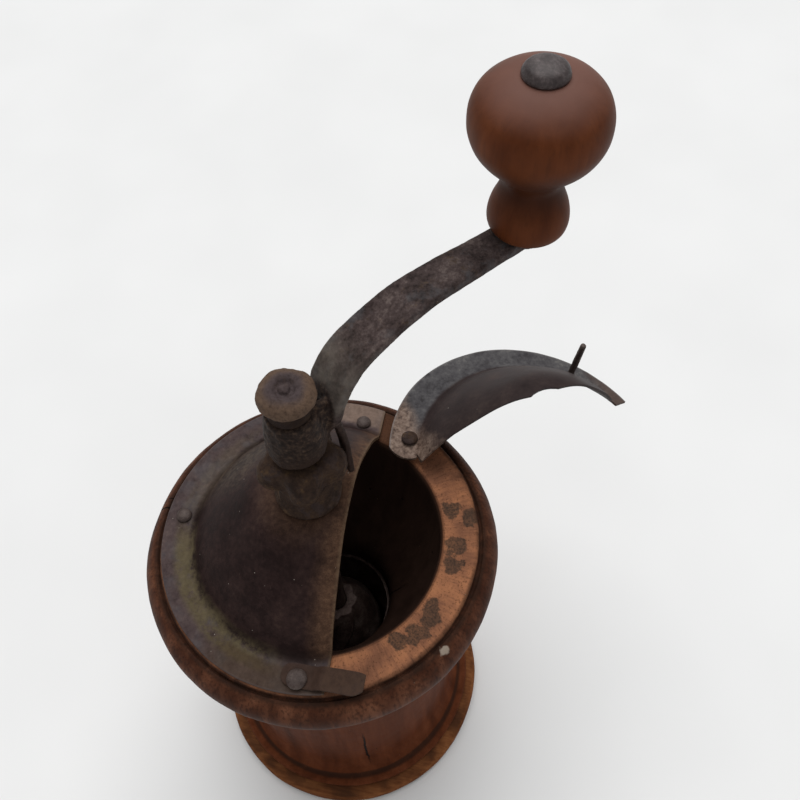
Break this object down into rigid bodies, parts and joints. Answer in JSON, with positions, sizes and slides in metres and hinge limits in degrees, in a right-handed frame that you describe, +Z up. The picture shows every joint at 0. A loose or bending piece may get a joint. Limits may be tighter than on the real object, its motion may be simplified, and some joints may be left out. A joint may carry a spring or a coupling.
{
  "type": "hand crank coffee grinder",
  "caption": "Round turned wooden coffee mill with a domed steel cover, swinging hopper lid, hand crank with turned knob, conical burr and drawer.",
  "frame": {"origin": "centre of the flat face that the grinder stands on, on the spindle axis", "axes": "+Z up along the spindle; +X towards the open side of the hopper, -X the side of the drawer"},
  "size_m": [0.158, 0.1542, 0.2986],
  "materials": {
    "wood_dark": "worn satin varnish, reddish brown",
    "wood_pale": "worn satin varnish, yellow brown",
    "wood_drawer": "bare dry wood",
    "steel_cover": "aged, brown patina and light rust",
    "steel_lid": "aged, blue grey flange with brown patina",
    "steel_crank": "aged, dark brown grey patina",
    "iron_dark": "rough, dark brown rust",
    "steel_burr": "dull, stained with coffee"
  },
  "bodies": {
    "body": {"turned_body": "wood_dark", "base_disc": "wood_pale", "base_screw_1": "steel_burr", "base_screw_2": "steel_burr", "base_screw_3": "steel_burr", "fixed_cover": "steel_cover", "cover_nail_left": "steel_cover", "cover_nail_back": "steel_cover", "lid_catch": "steel_cover", "catch_nail": "steel_cover", "lid_pivot_nail": "steel_cover", "bearing_collar": "iron_dark", "ring_burr": "steel_burr", "burr_bridge": "steel_cover", "bridge_screw_1": "steel_burr", "bridge_screw_2": "steel_burr"},
    "adjuster": {"adjusting_nut": "iron_dark"},
    "crank": {"crank_arm": "steel_crank", "spindle": "steel_burr", "cap_nut": "iron_dark", "cone_burr": "steel_burr", "burr_nut": "steel_burr", "knob_bolt": "iron_dark"},
    "knob": {"knob": "wood_dark"},
    "lid": {"swing_lid": "steel_lid", "lid_pin": "steel_cover"},
    "drawer": {"drawer_front": "wood_dark", "drawer_left_side": "wood_drawer", "drawer_right_side": "wood_drawer", "drawer_back": "wood_drawer", "drawer_bottom": "wood_drawer", "drawer_knob": "wood_dark", "drawer_knob_screw": "steel_burr"}
  },
  "joints": [
    {"name": "crank_spin", "type": "hinge", "parent": "body", "child": "adjuster", "pos_m": [0, 0, 0.2], "axis": [0, 0, 1], "continuous": true},
    {"name": "grind_setting", "type": "slide", "parent": "adjuster", "child": "crank", "axis": [0, 0, 1], "range_m": [-0.001, 0.001]},
    {"name": "knob_spin", "type": "hinge", "parent": "crank", "child": "knob", "pos_m": [0.05307, 0.05852, 0.2493], "axis": [0, 0, 1], "continuous": true},
    {"name": "lid_swing", "type": "hinge", "parent": "body", "child": "lid", "pos_m": [0.0226, 0.0403, 0.156], "axis": [0.0512, 0.0705, 0.9962], "range_deg": [-123, 5]},
    {"name": "drawer_slide", "type": "slide", "parent": "body", "child": "drawer", "axis": [-1, 0, 0], "range_m": [0, 0.05]}
  ]
}
